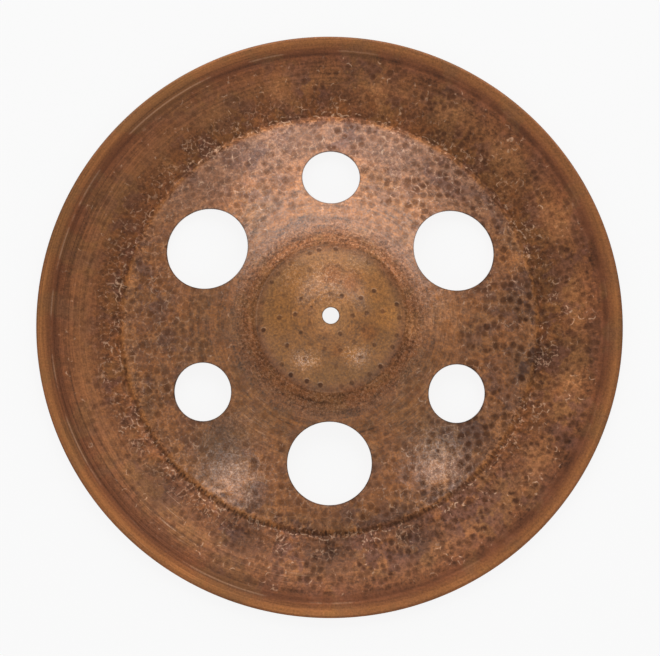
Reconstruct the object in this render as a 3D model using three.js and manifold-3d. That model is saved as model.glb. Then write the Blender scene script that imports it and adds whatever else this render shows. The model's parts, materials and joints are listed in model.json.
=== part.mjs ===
// A hammered bronze china cymbal of 18 inches with six round cut-outs.
//
// Lengths are millimetres and angles are degrees. +Z runs up through the bell. The cymbal stands
// on the ring under its crease, so that ring is at z = 0 and the axis is at x = 0, y = 0.
// +Y points at the small hole that is shown uppermost.
//
// The disc is one skin of metal. Its upper face is a chain of arcs, drawn outwards from the flat
// seat round the mounting hole: bell, root of the bell, bow, crease, upturned flange, rim band.
// The lower face runs the wall thickness under it, and the wall thins from the crown to the rim.

import * as THREE from "three";
import { mergeVertices } from "three/addons/utils/BufferGeometryUtils.js";
import Module from "manifold-3d";

// Driving dimensions in plan
const rimDiameter = 457.2;
const rimBandWidth = 13.4;
const creaseDiameter = 332;
const creaseBendRadius = 5;
const bellDiameter = 119;
const bellRootWidth = 4;
const bellHeight = 15;
const seatDiameter = 24;
const mountingHoleDiameter = 12.7;

// Wall thickness at four rings, in order from the crown to the rim
const seatWall = 1.35;
const bellWall = 1.15;
const creaseWall = 0.95;
const rimWall = 0.8;

// Slopes of the upper face, measured from level
const bowInnerSlope = 5.5;
const bowOuterSlope = 21;
const flangeInnerSlope = 14;
const flangeOuterSlope = 9.5;
const rimSlope = 8;

// Cut-outs, large and small in turn round the bow
const largeHoleDiameter = 65;
const largeHoleRadius = 111.7;
const smallHoleDiameter = 45.2;
const smallHoleRadius = 113.6;
const holesOfEachSize = 3;
const firstLargeHoleAngle = 30;
const firstSmallHoleAngle = 90;
const cutOverrun = 6;

// Round hammer pits on the bell, in rings from the crown outwards. Hand work leaves them uneven.
const bellPitDiameter = 4;
const bellPitDepth = 0.45;
const bellPitRingShares = [0.28, 0.45, 0.66, 0.89];
const bellPitCounts = [7, 14, 12, 26];
const bellPitRadialDrift = 0.9;
const bellPitPitchDriftShare = 0.22;
const bellPitMiddleShare = 0.55;

// Facets
const turnSegments = 72;
const largeHoleSegments = 40;
const smallHoleSegments = 32;
const bellSteps = 6;
const bellRootSteps = 3;
const bowSteps = 6;
const creaseSteps = 2;
const flangeSteps = 3;
const rimBandSteps = 2;
const edgeSteps = 4;
const bellPitSegments = 6;

const degree = Math.PI / 180;
const rimRadius = rimDiameter / 2;
const creaseRadius = creaseDiameter / 2;
const bellRadius = bellDiameter / 2;
const seatRadius = seatDiameter / 2;
const mountingHoleRadius = mountingHoleDiameter / 2;
const edgeRadius = rimWall / 2;

const wasm = await Module();
wasm.setup();

// A ring of the upper face. Its slope is an angle in radians, positive where the face falls outwards.
function ring(radius, height, slope) {
  return { radius, height, slope };
}

// The rings of an arc that carries on from a ring, covers a horizontal reach and ends at a new slope.
function arcFrom(start, reach, endSlope, steps) {
  const bend = reach / (Math.sin(endSlope) - Math.sin(start.slope));
  const rings = [];
  for (let step = 1; step <= steps; step += 1) {
    const slope = start.slope + ((endSlope - start.slope) * step) / steps;
    const radius = start.radius + bend * (Math.sin(slope) - Math.sin(start.slope));
    const height = start.height + bend * (Math.cos(slope) - Math.cos(start.slope));
    rings.push(ring(radius, height, slope));
  }
  return rings;
}

function lastOf(rings) {
  return rings[rings.length - 1];
}

// The seat is level, so that felt washers bear on it above and below.
function seatRings() {
  return [ring(mountingHoleRadius, 0, 0), ring(seatRadius, 0, 0)];
}

// The bell leaves the seat level and steepens until it has dropped its height.
function bellRings(start) {
  const reach = bellRadius - bellRootWidth / 2 - start.radius;
  const edgeSlope = 2 * Math.atan(bellHeight / reach);
  return arcFrom(start, reach, edgeSlope, bellSteps);
}

// The hollow ring where the bell meets the bow.
function bellRootRings(start) {
  return arcFrom(start, bellRootWidth, bowInnerSlope * degree, bellRootSteps);
}

// The bow is a shallow arch that falls from the bell to the crease.
function bowRings(start) {
  const end = creaseRadius - creaseBendRadius * Math.sin(bowOuterSlope * degree);
  return arcFrom(start, end - start.radius, bowOuterSlope * degree, bowSteps);
}

// The crease is a tight bend. Its bottom is level and lies on the crease diameter.
function creaseRings(start) {
  const inner = arcFrom(start, creaseRadius - start.radius, 0, creaseSteps);
  const outerReach = creaseBendRadius * Math.sin(flangeInnerSlope * degree);
  const outer = arcFrom(lastOf(inner), outerReach, -flangeInnerSlope * degree, creaseSteps);
  return [...inner, ...outer];
}

// The flange turns up from the crease, steepest beside it.
function flangeRings(start) {
  const reach = rimRadius - rimBandWidth - start.radius;
  return arcFrom(start, reach, -flangeOuterSlope * degree, flangeSteps);
}

// The rim band carries on up to the edge, which is rounded over the whole wall and square to it.
function rimBandRings(start) {
  const slope = rimSlope * degree;
  const end = rimRadius - edgeRadius * (Math.sin(slope) + Math.cos(slope));
  return arcFrom(start, end - start.radius, -slope, rimBandSteps);
}

// The whole upper face. The end rings of the bell and the bow are kept for placing pits and holes.
function upperFace() {
  const seat = seatRings();
  const bell = bellRings(lastOf(seat));
  const root = bellRootRings(lastOf(bell));
  const bow = bowRings(lastOf(root));
  const crease = creaseRings(lastOf(bow));
  const flange = flangeRings(lastOf(crease));
  const band = rimBandRings(lastOf(flange));
  const rings = [...seat, ...bell, ...root, ...bow, ...crease, ...flange, ...band];
  const lowest = Math.min(...rings.map((each) => each.height));
  const bellEnds = [lastOf(seat), lastOf(bell)];
  const bowEnds = [lastOf(root), lastOf(bow)];
  return { rings, bellEnds, bowEnds, lift: creaseWall - lowest };
}

// Wall thickness at a radius, straight between the four named rings.
function wallAt(radius) {
  const stations = [
    [seatRadius, seatWall],
    [bellRadius, bellWall],
    [creaseRadius, creaseWall],
    [rimRadius, rimWall],
  ];
  if (radius <= seatRadius) return seatWall;
  const outer = stations.findIndex(([stationRadius]) => radius <= stationRadius);
  const [innerRadius, innerWall] = stations[outer - 1];
  const [outerRadius, outerWall] = stations[outer];
  const share = (radius - innerRadius) / (outerRadius - innerRadius);
  return innerWall + (outerWall - innerWall) * share;
}

// The closed outline that is turned about the axis: upper face outwards, round the edge, lower face back.
function discOutline(face) {
  const upper = face.rings.map((each) => new THREE.Vector2(each.radius, each.height + face.lift));
  const lower = face.rings.map((each, index) => {
    const wall = wallAt(each.radius);
    const down = new THREE.Vector2(-Math.sin(each.slope), -Math.cos(each.slope));
    return upper[index].clone().addScaledVector(down, wall);
  });
  const top = Math.PI / 2 + rimSlope * degree;
  const up = new THREE.Vector2(Math.cos(top), Math.sin(top));
  const edgeCentre = lastOf(upper).clone().addScaledVector(up, -edgeRadius);
  const edge = [];
  for (let step = 1; step < edgeSteps; step += 1) {
    const turn = top - (Math.PI * step) / edgeSteps;
    const out = new THREE.Vector2(Math.cos(turn), Math.sin(turn));
    edge.push(edgeCentre.clone().addScaledVector(out, edgeRadius));
  }
  return [...upper, ...edge, ...lower.reverse(), upper[0].clone()];
}

// A closed geometry as a solid that can be cut.
function solidOf(geometry) {
  geometry.deleteAttribute("normal");
  geometry.deleteAttribute("uv");
  const merged = mergeVertices(geometry);
  const vertProperties = merged.attributes.position.array;
  const triVerts = new Uint32Array(merged.index.array);
  return new wasm.Manifold(new wasm.Mesh({ numProp: 3, vertProperties, triVerts }));
}

function geometryOf(solid) {
  const cut = solid.getMesh();
  const geometry = new THREE.BufferGeometry();
  geometry.setAttribute("position", new THREE.BufferAttribute(cut.vertProperties, 3));
  geometry.setIndex(new THREE.BufferAttribute(cut.triVerts, 1));
  geometry.computeVertexNormals();
  return geometry;
}

// The turned disc, before its cut-outs.
function discSolid(face) {
  const outline = discOutline(face).reverse();
  const geometry = new THREE.LatheGeometry(outline, turnSegments);
  geometry.rotateX(Math.PI / 2);
  return solidOf(geometry);
}

// Height and slope of the upper face at a radius on the arc between two end rings.
function placeOn([start, end], radius, lift) {
  const startSine = Math.sin(start.slope);
  const bend = (end.radius - start.radius) / (Math.sin(end.slope) - startSine);
  const slope = Math.asin(startSine + (radius - start.radius) / bend);
  const height = start.height + bend * (Math.cos(slope) - Math.cos(start.slope));
  return ring(radius, height + lift, slope);
}

// Tips a tool that stands on the origin square to the upper face, and carries it to its place.
function setSquare(tool, place, angle) {
  tool.rotateY(place.slope);
  tool.translate(place.radius, 0, place.height);
  tool.rotateZ(angle * degree);
  return solidOf(tool);
}

// A punch that cuts square through the bow at one radius and angle.
function punchSolid(face, diameter, radius, angle, segments) {
  const wall = wallAt(radius);
  const punch = new THREE.CylinderGeometry(diameter / 2, diameter / 2, wall + 2 * cutOverrun, segments);
  punch.rotateX(Math.PI / 2);
  punch.translate(0, 0, -wall / 2);
  return setSquare(punch, placeOn(face.bowEnds, radius, face.lift), angle);
}

// The round nose of the hammer, as deep in the metal as one pit.
function noseSolid(face, radius, angle) {
  const noseRadius = bellPitDiameter / 2;
  const middleDepth = bellPitDepth * (1 - bellPitMiddleShare * bellPitMiddleShare);
  const outline = [
    new THREE.Vector2(0, -bellPitDepth),
    new THREE.Vector2(noseRadius * bellPitMiddleShare, -middleDepth),
    new THREE.Vector2(noseRadius, 0),
    new THREE.Vector2(noseRadius, cutOverrun),
    new THREE.Vector2(0, cutOverrun),
  ];
  const nose = new THREE.LatheGeometry(outline, bellPitSegments);
  nose.rotateX(Math.PI / 2);
  return setSquare(nose, placeOn(face.bellEnds, radius, face.lift), angle);
}

// One ring of pits. Sines of the pit's number make them drift from their even places.
function pitRing(face, ringNumber) {
  const count = bellPitCounts[ringNumber];
  const pitch = 360 / count;
  const noses = [];
  for (let pit = 0; pit < count; pit += 1) {
    const pitchDrift = bellPitPitchDriftShare * Math.sin(pit * pit + ringNumber);
    const radialDrift = bellPitRadialDrift * Math.sin(pit * pit + pit + ringNumber);
    const radius = bellRadius * bellPitRingShares[ringNumber] + radialDrift;
    noses.push(noseSolid(face, radius, (pit + pitchDrift) * pitch));
  }
  return noses;
}

function cymbalSolid() {
  const face = upperFace();
  const pitch = 360 / holesOfEachSize;
  let solid = discSolid(face);
  for (let hole = 0; hole < holesOfEachSize; hole += 1) {
    const turn = hole * pitch;
    const large = [largeHoleDiameter, largeHoleRadius, firstLargeHoleAngle + turn, largeHoleSegments];
    const small = [smallHoleDiameter, smallHoleRadius, firstSmallHoleAngle + turn, smallHoleSegments];
    solid = solid.subtract(punchSolid(face, ...large));
    solid = solid.subtract(punchSolid(face, ...small));
  }
  const noses = bellPitCounts.flatMap((_, ringNumber) => pitRing(face, ringNumber));
  return noses.reduce((pitted, nose) => pitted.subtract(nose), solid);
}

// Aged bronze, brown with a dull sheen.
const bronze = new THREE.MeshStandardMaterial({ color: 0x8c5f42, roughness: 0.42, metalness: 1 });

const cymbal = new THREE.Mesh(geometryOf(cymbalSolid()), bronze);
cymbal.name = "cymbal";

const chinaCymbal = new THREE.Group();
chinaCymbal.add(cymbal);

export default chinaCymbal;
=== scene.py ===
# %% [markdown]
# # A hammered china cymbal
# The real object is one disc of bronze, pressed, hammered, turned on a lathe and left with a
# brown patina. Six round holes are cut through its bow.
#
# A maker could revolve one outline, or sculpt the dents by hand. Here the disc is meshed from
# a few named sizes, and trees of nodes put the hammer marks and the patina on it, so every
# step can be changed and run again.

import json
import math

import bmesh
import bpy
import numpy as np
from mathutils import Matrix, Vector
from mathutils.geometry import delaunay_2d_cdt

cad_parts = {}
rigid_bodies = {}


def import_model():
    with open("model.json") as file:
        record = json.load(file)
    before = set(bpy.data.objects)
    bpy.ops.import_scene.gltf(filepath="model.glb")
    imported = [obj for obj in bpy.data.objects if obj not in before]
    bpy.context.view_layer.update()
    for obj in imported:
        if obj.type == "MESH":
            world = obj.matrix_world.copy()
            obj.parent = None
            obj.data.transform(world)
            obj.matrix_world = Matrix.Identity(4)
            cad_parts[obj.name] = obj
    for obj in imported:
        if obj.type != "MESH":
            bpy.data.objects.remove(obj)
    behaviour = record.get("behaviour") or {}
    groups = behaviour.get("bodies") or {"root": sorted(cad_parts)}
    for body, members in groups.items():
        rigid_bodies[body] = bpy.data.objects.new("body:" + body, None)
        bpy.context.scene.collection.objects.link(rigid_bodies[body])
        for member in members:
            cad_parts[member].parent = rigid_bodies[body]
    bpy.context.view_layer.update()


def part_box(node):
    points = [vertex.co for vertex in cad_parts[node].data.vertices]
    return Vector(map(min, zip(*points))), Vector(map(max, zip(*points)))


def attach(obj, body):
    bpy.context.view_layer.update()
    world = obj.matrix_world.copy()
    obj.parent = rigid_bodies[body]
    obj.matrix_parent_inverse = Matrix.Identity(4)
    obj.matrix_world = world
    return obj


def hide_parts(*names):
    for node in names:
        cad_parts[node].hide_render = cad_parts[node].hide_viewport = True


for leftover in list(bpy.data.objects):
    bpy.data.objects.remove(leftover)

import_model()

# %% [markdown]
# ## Sizes
# The CAD model gives the sizes, and the disc on view has to have the same ones. They are
# written once here, in metres and radians, under the names that a cymbal smith would use.

# %% Sizes of the disc
MM = 0.001
DEGREE = math.pi / 180

RIM_RADIUS = 228.6 * MM
RIM_BAND_WIDTH = 13.4 * MM
CREASE_RADIUS = 166.0 * MM
CREASE_BEND_RADIUS = 5.0 * MM
BELL_RADIUS = 59.5 * MM
BELL_ROOT_WIDTH = 4.0 * MM
BELL_HEIGHT = 15.0 * MM
SEAT_RADIUS = 12.0 * MM
MOUNTING_HOLE_RADIUS = 6.35 * MM

WALL_RADII = [SEAT_RADIUS, BELL_RADIUS, CREASE_RADIUS, RIM_RADIUS]
WALLS = [1.35 * MM, 1.15 * MM, 0.95 * MM, 0.8 * MM]

BOW_INNER_SLOPE = 5.5 * DEGREE
BOW_OUTER_SLOPE = 21.0 * DEGREE
FLANGE_INNER_SLOPE = 14.0 * DEGREE
FLANGE_OUTER_SLOPE = 9.5 * DEGREE
RIM_SLOPE = 8.0 * DEGREE

_, cad_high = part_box("cymbal")
print("CAD rim radius", round(cad_high.x, 4), "and height", round(cad_high.z, 4))

# %% [markdown]
# ## The section of the disc
# Cut through the middle, a china cymbal is a chain of arcs: the level seat, the domed bell,
# its hollow root, the shallow bow, the tight crease, the flange that turns up again and the
# flatter band at the rim. Each arc starts where the last one ends, with the same slope, so
# the surface has no kinks. The lower face lies one wall thickness under the upper one.

# %% Arcs of the upper face
arcs = [(MOUNTING_HOLE_RADIUS, 0.0, 0.0, SEAT_RADIUS, 0.0, 0.0)]


def carry_on(end_radius, end_slope):
    """Adds an arc to the section, from the end of the last one.

    A slope that falls outwards is positive.
    """
    radius, height, slope = arcs[-1][3:]
    bend = (end_radius - radius) / (math.sin(end_slope) - math.sin(slope))
    end_height = height + bend * (math.cos(end_slope) - math.cos(slope))
    arcs.append((radius, height, slope, end_radius, end_height, end_slope))


bell_end = BELL_RADIUS - BELL_ROOT_WIDTH / 2
carry_on(bell_end, 2 * math.atan(BELL_HEIGHT / (bell_end - SEAT_RADIUS)))
carry_on(bell_end + BELL_ROOT_WIDTH, BOW_INNER_SLOPE)
carry_on(CREASE_RADIUS - CREASE_BEND_RADIUS * math.sin(BOW_OUTER_SLOPE), BOW_OUTER_SLOPE)
carry_on(CREASE_RADIUS, 0.0)
carry_on(CREASE_RADIUS + CREASE_BEND_RADIUS * math.sin(FLANGE_INNER_SLOPE), -FLANGE_INNER_SLOPE)
carry_on(RIM_RADIUS - RIM_BAND_WIDTH, -FLANGE_OUTER_SLOPE)
edge_radius = WALLS[-1] / 2
carry_on(RIM_RADIUS - edge_radius * (math.sin(RIM_SLOPE) + math.cos(RIM_SLOPE)), -RIM_SLOPE)

crease_wall = WALLS[2]
crown_height = crease_wall - min(arc[4] for arc in arcs)
EDGE_RING = arcs[-1][3]
SAME_RADIUS = 1e-9


def wall_at(radius):
    """Thickness of the metal at a radius."""
    return np.interp(radius, WALL_RADII, WALLS)


def face_at(radius):
    """Height and slope of the upper face at each radius of an array."""
    height, slope = np.zeros_like(radius), np.zeros_like(radius)
    for r0, h0, s0, r1, _, s1 in arcs:
        inside = (radius >= r0 - SAME_RADIUS) & (radius <= r1 + SAME_RADIUS)
        if s0 == s1:
            height[inside], slope[inside] = h0, s0
            continue
        bend = (r1 - r0) / (math.sin(s1) - math.sin(s0))
        here = np.arcsin(np.clip(math.sin(s0) + (radius[inside] - r0) / bend, -1, 1))
        height[inside] = h0 + bend * (np.cos(here) - math.cos(s0))
        slope[inside] = here
    return height + crown_height, slope


print("crown at", round(crown_height / MM, 2), "mm")
print("the CAD box is", round(cad_high.z / MM, 2), "mm high")

# %% [markdown]
# ## The cut-outs
# Three large and three small holes take turns round the bow. Each is punched square to the
# sloping metal, so its outline is the place where a slanted cylinder meets the upper face.

# %% Cut-outs
HOLES_OF_EACH_SIZE = 3
LARGE_HOLE = {"radius": 32.5 * MM, "reach": 111.7 * MM, "first": 30 * DEGREE}
SMALL_HOLE = {"radius": 22.6 * MM, "reach": 113.6 * MM, "first": 90 * DEGREE}
OUTLINE_ROUNDS = 6


def hole_axes(hole):
    """A hole's middle on the upper face, its punch's axis, and two directions square to that."""
    height, slope = (value[0] for value in face_at(np.array([hole["reach"]])))
    spin = np.array(Matrix.Rotation(hole["angle"], 3, "Z"))
    middle = spin @ np.array([hole["reach"], 0.0, height])
    axis = spin @ np.array([math.sin(slope), 0.0, math.cos(slope)])
    outward = spin @ np.array([math.cos(slope), 0.0, -math.sin(slope)])
    sideways = spin @ np.array([0.0, 1.0, 0.0])
    return middle, axis, outward, sideways


def hole_outline(hole, radius, count):
    """Plan of the ring where a punch of this radius meets the upper face."""
    middle, axis, outward, sideways = hole_axes(hole)
    turn = np.arange(count)[:, None] * 2 * math.pi / count
    ring = middle + radius * (np.cos(turn) * outward + np.sin(turn) * sideways)
    for _ in range(OUTLINE_ROUNDS):
        height, _ = face_at(np.hypot(ring[:, 0], ring[:, 1]))
        ring = ring + ((height - ring[:, 2]) / axis[2])[:, None] * axis
    return ring[:, :2]


def distance_from_punch(hole, plan):
    """How far points of the upper face lie from the punch's axis."""
    middle, axis, _, _ = hole_axes(hole)
    height, _ = face_at(np.hypot(plan[:, 0], plan[:, 1]))
    reach = np.column_stack([plan, height]) - middle
    along = reach @ axis
    return np.linalg.norm(reach - along[:, None] * axis, axis=1)


cut_outs = []
for number in range(HOLES_OF_EACH_SIZE):
    for kind in (LARGE_HOLE, SMALL_HOLE):
        angle = kind["first"] + number * 2 * math.pi / HOLES_OF_EACH_SIZE
        cut_outs.append({"radius": kind["radius"], "reach": kind["reach"], "angle": angle})
cut_out_radii = sorted({round(hole["radius"] / MM, 1) for hole in cut_outs})
print(len(cut_outs), "cut-outs, radii in mm:", cut_out_radii)

# %% [markdown]
# ## Points of the skin
# Hammer dents are a few millimetres across, so the skin needs points closer than that. Rings
# of points, each shifted by half a step from the last, make even triangles. They stand closer
# in the root of the bell and in the crease, where the metal bends fast. Round each hole the
# rings give way to the hole's own outline.

# %% Points and triangles of a sheet
UPPER_STEP = 1.72 * MM
LOWER_STEP = 2.45 * MM
HOLE_STEP = 1.35 * MM
EDGE_BEVEL = 0.18 * MM
COLLAR = 1.15 * MM
BORE_STEP = 0.8 * MM
RIM_CLEARANCE = 1.3
HOLE_CLEARANCE = 0.55
MERGE_DISTANCE = 1e-5
BELL_ROOT_ZONE = (56.0 * MM, 63.0 * MM, 0.85 * MM)
CREASE_FINE_ZONE = (160.5 * MM, 171.0 * MM, 0.75 * MM)


def ring_radii(step):
    """Radii of the rings of one sheet, closer together in the fine zones."""
    radii = [MOUNTING_HOLE_RADIUS + EDGE_BEVEL + COLLAR]
    while radii[-1] < EDGE_RING - RIM_CLEARANCE * step:
        gap_to_next = step
        for start, end, fine_step in (BELL_ROOT_ZONE, CREASE_FINE_ZONE):
            if start <= radii[-1] < end:
                gap_to_next = fine_step * step / UPPER_STEP
        radii.append(radii[-1] + gap_to_next)
    return radii


def circle(radius, count, shift=0.0):
    turn = (np.arange(count) + shift) * 2 * math.pi / count
    return np.column_stack([np.cos(turn), np.sin(turn)]) * radius


def around(radius, step):
    """How many points go round a circle."""
    return int(round(2 * math.pi * radius / step))


RIM_COUNT = around(EDGE_RING, UPPER_STEP)
BORE_COUNT = around(MOUNTING_HOLE_RADIUS, BORE_STEP)
for hole in cut_outs:
    hole["count"] = around(hole["radius"], HOLE_STEP)


def sheet(step):
    """Plan points of one face of the disc, the loops along its borders, and its triangles."""
    blocks = [circle(EDGE_RING, RIM_COUNT), circle(MOUNTING_HOLE_RADIUS + EDGE_BEVEL, BORE_COUNT)]
    blocks += [hole_outline(hole, hole["radius"] + EDGE_BEVEL, hole["count"]) for hole in cut_outs]
    starts = np.cumsum([0] + [len(block) for block in blocks])
    loops = [np.arange(a, b) for a, b in zip(starts, starts[1:])]
    for hole in cut_outs:
        blocks.append(hole_outline(hole, hole["radius"] + EDGE_BEVEL + COLLAR, hole["count"]))
    for index, radius in enumerate(ring_radii(step)):
        ring = circle(radius, around(radius, step), shift=0.5 * (index % 2))
        for hole in cut_outs:
            clear = hole["radius"] + EDGE_BEVEL + COLLAR + HOLE_CLEARANCE * step
            ring = ring[distance_from_punch(hole, ring) > clear]
        blocks.append(ring)
    plan = np.concatenate(blocks)
    plan_in_mm = [Vector(point) for point in (plan / MM).tolist()]
    found = delaunay_2d_cdt(plan_in_mm, [], [], 0, MERGE_DISTANCE)
    assert len(found[0]) == len(plan)
    triangles = np.array(found[2])
    owner = np.full(len(plan), -1)
    for number, loop in enumerate(loops[1:]):
        owner[loop] = number
    one, two, three = owner[triangles].T
    in_a_hole = (one >= 0) & (one == two) & (two == three)
    return plan, loops, triangles[~in_a_hole]


upper_plan, upper_loops, upper_triangles = sheet(UPPER_STEP)
lower_plan, lower_loops, lower_triangles = sheet(LOWER_STEP)
print("upper face", len(upper_triangles), "triangles, lower face", len(lower_triangles))

# %% [markdown]
# ## One closed skin
# The two faces are joined round the rim by a half-round edge, and in each hole by a straight
# wall with a small bevel, because a sharp edge on a cymbal is always broken by hand.
#
# Every point also keeps three facts for the later steps: its place in plan on the upper face,
# the direction that a blow bulges the metal, and how far it is from the edge of a hole.

# %% Join the faces
points, places, ups = [], [], []
triangles = []


def add_points(plan, inward):
    """Adds points a depth inside the upper face, along its normal, and returns their numbers."""
    radius = np.hypot(plan[:, 0], plan[:, 1])
    height, slope = face_at(radius)
    out = plan / radius[:, None]
    up = np.column_stack([out * np.sin(slope)[:, None], np.cos(slope)])
    first = sum(len(block) for block in points)
    depth = np.broadcast_to(inward, radius.shape)[:, None]
    points.append(np.column_stack([plan, height]) - up * depth)
    places.append(plan)
    ups.append(up)
    return first + np.arange(len(plan))


def join_loops(one, other):
    """A strip of triangles between two loops of the same length."""
    after, other_after = np.roll(one, -1), np.roll(other, -1)
    triangles.append(np.column_stack([one, after, other]))
    triangles.append(np.column_stack([after, other_after, other]))


upper = add_points(upper_plan, 0.0)
triangles.append(upper[upper_triangles])
lower_wall = wall_at(np.hypot(lower_plan[:, 0], lower_plan[:, 1]))
lower = add_points(lower_plan, lower_wall)
triangles.append(lower[lower_triangles][:, ::-1])

outlines = [lambda radius: circle(radius, BORE_COUNT)]
for hole in cut_outs:
    outlines.append(lambda radius, hole=hole: hole_outline(hole, radius, hole["count"]))
bores = [MOUNTING_HOLE_RADIUS] + [hole["radius"] for hole in cut_outs]
for number, (outline, bore) in enumerate(zip(outlines, bores), start=1):
    ring = outline(bore)
    wall = wall_at(np.hypot(ring[:, 0], ring[:, 1]))
    top = add_points(ring, EDGE_BEVEL)
    bottom = add_points(ring, wall - EDGE_BEVEL)
    join_loops(upper[upper_loops[number]], top)
    join_loops(top, bottom)
    join_loops(bottom, lower[lower_loops[number]])

EDGE_STEPS = 5
last_ring = upper[upper_loops[0]]
for step in range(1, EDGE_STEPS):
    turn = math.pi * step / EDGE_STEPS
    rim_ring = circle(EDGE_RING, RIM_COUNT)
    ring = add_points(rim_ring, edge_radius * (1 - math.cos(turn)))
    outwards = edge_radius * math.sin(turn)
    points[-1][:, :2] += circle(outwards * math.cos(RIM_SLOPE), RIM_COUNT)
    points[-1][:, 2] += outwards * math.sin(RIM_SLOPE)
    join_loops(last_ring, ring)
    last_ring = ring
join_loops(last_ring, lower[lower_loops[0]])

# %% Make the mesh
corners = np.concatenate(points)
skin = bpy.data.meshes.new("bronze_cymbal")
skin.from_pydata(corners.tolist(), [], np.concatenate(triangles).tolist())
skin_plan = np.concatenate(places)
edge_gaps = [np.hypot(skin_plan[:, 0], skin_plan[:, 1]) - MOUNTING_HOLE_RADIUS]
edge_gaps += [distance_from_punch(hole, skin_plan) - hole["radius"] for hole in cut_outs]
flat_plan = np.column_stack([skin_plan, np.zeros(len(corners))])
for name, rows in (("plan", flat_plan), ("up", np.concatenate(ups))):
    stored = skin.attributes.new(name, "FLOAT_VECTOR", "POINT")
    stored.data.foreach_set("vector", rows.astype(np.float32).ravel())
stored = skin.attributes.new("gap", "FLOAT", "POINT")
stored.data.foreach_set("value", np.min(edge_gaps, axis=0).astype(np.float32))

working = bmesh.new()
working.from_mesh(skin)
bmesh.ops.recalc_face_normals(working, faces=working.faces)
open_edges = sum(1 for edge in working.edges if not edge.is_manifold)
print("points", len(working.verts), "triangles", len(working.faces), "open edges", open_edges)
CUBIC_CENTIMETRES = 1e6
volume = working.calc_volume(signed=True) * CUBIC_CENTIMETRES
print("volume in cubic centimetres", round(volume, 2))
working.to_mesh(skin)
working.free()
assert open_edges == 0

blank = bpy.data.objects.new("bronze_cymbal_blank", skin)
bpy.context.scene.collection.objects.link(blank)

# %% [markdown]
# ## A bench for nodes
# The dents in the metal and the dark spots in the patina have to lie in the same places. The
# same nodes work in a geometry tree and in a material, so the hammer marks are written once,
# as functions that lay their nodes in whichever tree they are given.

# %% The bench
USUAL_NOISE = (0.34, 0.66)
CELL_RANDOMNESS = 0.85


class Bench:
    """Lays nodes in a tree, for geometry and for materials alike."""

    def __init__(self, tree):
        self.tree = tree

    def node(self, kind, **settings):
        node = self.tree.nodes.new(kind)
        for name, value in settings.items():
            setattr(node, name, value)
        return node

    def feed(self, socket, value):
        if isinstance(value, bpy.types.NodeSocket):
            self.tree.links.new(value, socket)
        else:
            socket.default_value = value

    def fill(self, node, *values):
        for socket, value in zip(node.inputs, values):
            if value is not None:
                self.feed(socket, value)
        return node

    def math(self, operation, *values, clamp=False):
        node = self.node("ShaderNodeMath", operation=operation, use_clamp=clamp)
        return self.fill(node, *values).outputs[0]

    def add(self, a, b):
        return self.math("ADD", a, b)

    def take(self, a, b):
        return self.math("SUBTRACT", a, b)

    def centred(self, value):
        """A value around one half, moved to lie around zero."""
        return self.take(value, 0.5)

    def sine(self, value):
        return self.math("SINE", value)

    def stretch(self, value, factor, start, clamp=False):
        """The value times a factor, plus a start."""
        return self.math("MULTIPLY_ADD", value, factor, start, clamp=clamp)

    def times(self, *values):
        product = values[0]
        for value in values[1:]:
            product = self.math("MULTIPLY", product, value)
        return product

    def most(self, *values):
        largest = values[0]
        for value in values[1:]:
            largest = self.math("MAXIMUM", largest, value)
        return largest

    def fade(self, value, start, end, low=0.0, high=1.0):
        """Goes smoothly from low to high while the value goes from start to end."""
        node = self.node("ShaderNodeMapRange", interpolation_type="SMOOTHSTEP")
        return self.fill(node, value, start, end, low, high).outputs[0]

    def fade_mm(self, value, start, end, low=0.0, high=1.0):
        """As fade, with start and end in millimetres."""
        return self.fade(value, start * MM, end * MM, low, high)

    def hill(self, value, foot, top, far_top, far_foot):
        """1 between top and far_top, and 0 before foot and after far_foot."""
        rise = self.fade(value, foot, top)
        return self.times(rise, self.fade(value, far_top, far_foot, 1.0, 0.0))

    def ring(self, radius, *edges):
        """A ring round the axis: a hill over the radius, with its four edges in millimetres."""
        return self.hill(radius, *(edge * MM for edge in edges))

    def parts(self, vector):
        return self.fill(self.node("ShaderNodeSeparateXYZ"), vector).outputs

    def join(self, x, y, z):
        return self.fill(self.node("ShaderNodeCombineXYZ"), x, y, z).outputs[0]

    def vector(self, operation, *values):
        node = self.fill(self.node("ShaderNodeVectorMath", operation=operation), *values)
        is_number = operation in ("LENGTH", "DOT_PRODUCT", "DISTANCE")
        return node.outputs["Value" if is_number else "Vector"]

    def scale(self, vector, factor):
        node = self.node("ShaderNodeVectorMath", operation="SCALE")
        self.feed(node.inputs[0], vector)
        self.feed(node.inputs["Scale"], factor)
        return node.outputs[0]

    def noise(self, place, scale, detail=2.0, roughness=0.5):
        """Cloudy noise around one half."""
        node = self.node("ShaderNodeTexNoise")
        settings = {"Vector": place, "Scale": scale, "Detail": detail, "Roughness": roughness}
        for name, value in settings.items():
            self.feed(node.inputs[name], value)
        return node.outputs

    def cloud(self, place, size, seed, detail=3.0, roughness=0.6):
        """Clouds of about the given size, spread over 0 to 1."""
        moved = self.vector("ADD", place, (seed, 0.4 * seed, 0.7 * seed))
        noise = self.noise(moved, 1 / size, detail, roughness)[0]
        return self.fade(noise, USUAL_NOISE[0], USUAL_NOISE[1])

    def cells(self, place, dimensions, feature="F1"):
        """Scattered cells of unit size: one point in each, or the seams between them."""
        node = self.node("ShaderNodeTexVoronoi", voronoi_dimensions=dimensions, feature=feature)
        for name, value in (("Vector", place), ("Scale", 1.0), ("Randomness", CELL_RANDOMNESS)):
            self.feed(node.inputs[name], value)
        return node.outputs


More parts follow.
